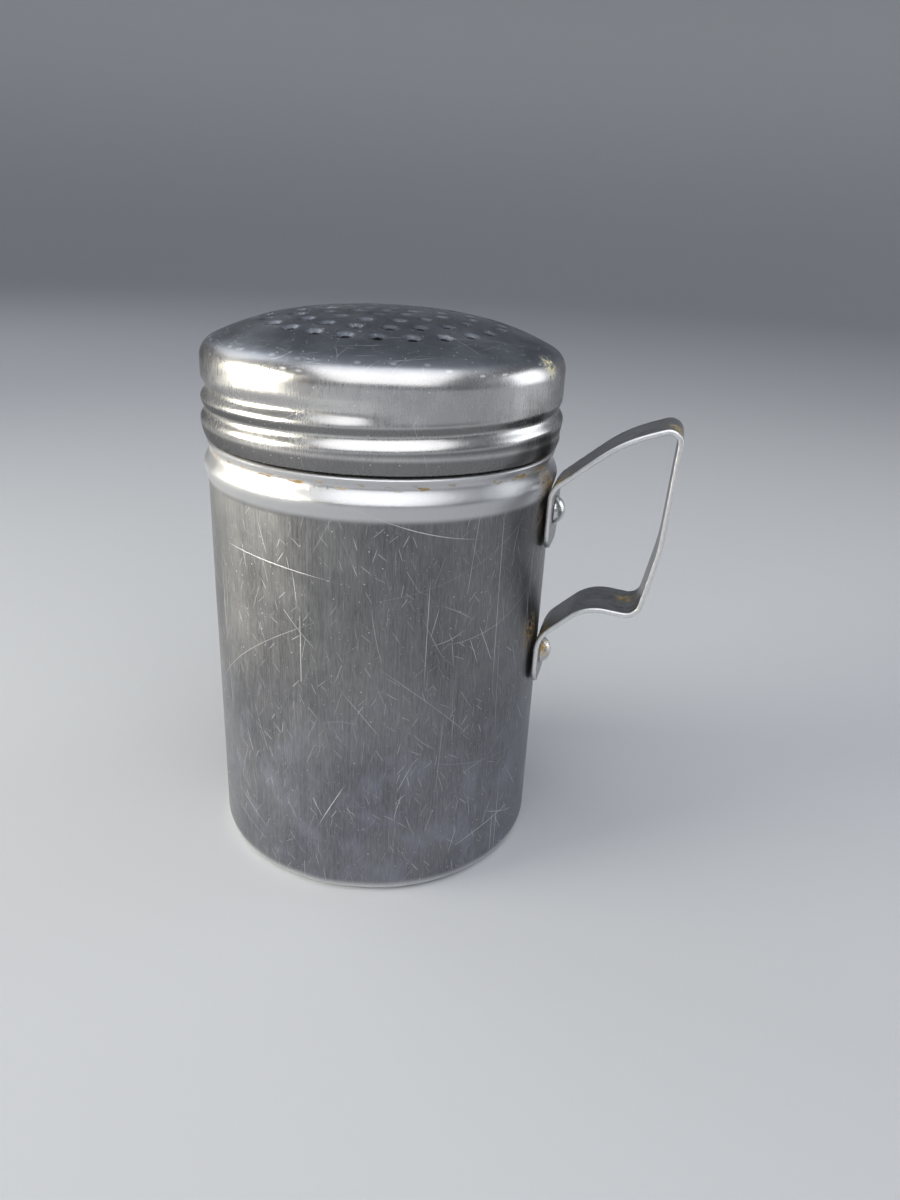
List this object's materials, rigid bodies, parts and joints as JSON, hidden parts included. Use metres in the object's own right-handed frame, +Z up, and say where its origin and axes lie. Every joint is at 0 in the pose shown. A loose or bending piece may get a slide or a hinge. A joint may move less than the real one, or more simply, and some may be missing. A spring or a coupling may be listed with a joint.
{
  "type": "spice shaker",
  "caption": "Cylindrical aluminium spice shaker with a perforated domed screw lid and a bent strip handle riveted to the side.",
  "frame": {"origin": "centre of the cup's flat base, on the cup's axis", "axes": "+Z up the cup's axis towards the lid's apex, +X from the axis through the middle of the handle, +Y completes the right-handed frame"},
  "size_m": [0.095, 0.0718, 0.112],
  "materials": {
    "cup_aluminium": "worn satin aluminium with fine draw lines, scratches and small dents",
    "lid_aluminium": "brighter worn polish with fine circumferential scratches",
    "handle_aluminium": "rolled strip with dull faces, bright sheared edges and a little grime",
    "rivet_aluminium": "bright domed heads"
  },
  "bodies": {
    "cup": {"cup": "cup_aluminium", "handle": "handle_aluminium", "rivet_upper": "rivet_aluminium", "rivet_lower": "rivet_aluminium"},
    "lid_hem": {"lid_hem": "lid_aluminium"},
    "lid": {"lid": "lid_aluminium"}
  },
  "joints": [
    {"name": "lid_lift", "type": "slide", "parent": "cup", "child": "lid_hem", "axis": [0, 0, 1], "range_m": [0, 0.0134]},
    {"name": "lid_turn", "type": "hinge", "parent": "lid_hem", "child": "lid", "pos_m": [0, 0, 0.0884], "axis": [0, 0, 1], "range_deg": [0, 1170]}
  ],
  "couplings": [
    {"joint": "lid_lift", "follows": "lid_turn", "m_per_rad": 0.00065254}
  ]
}
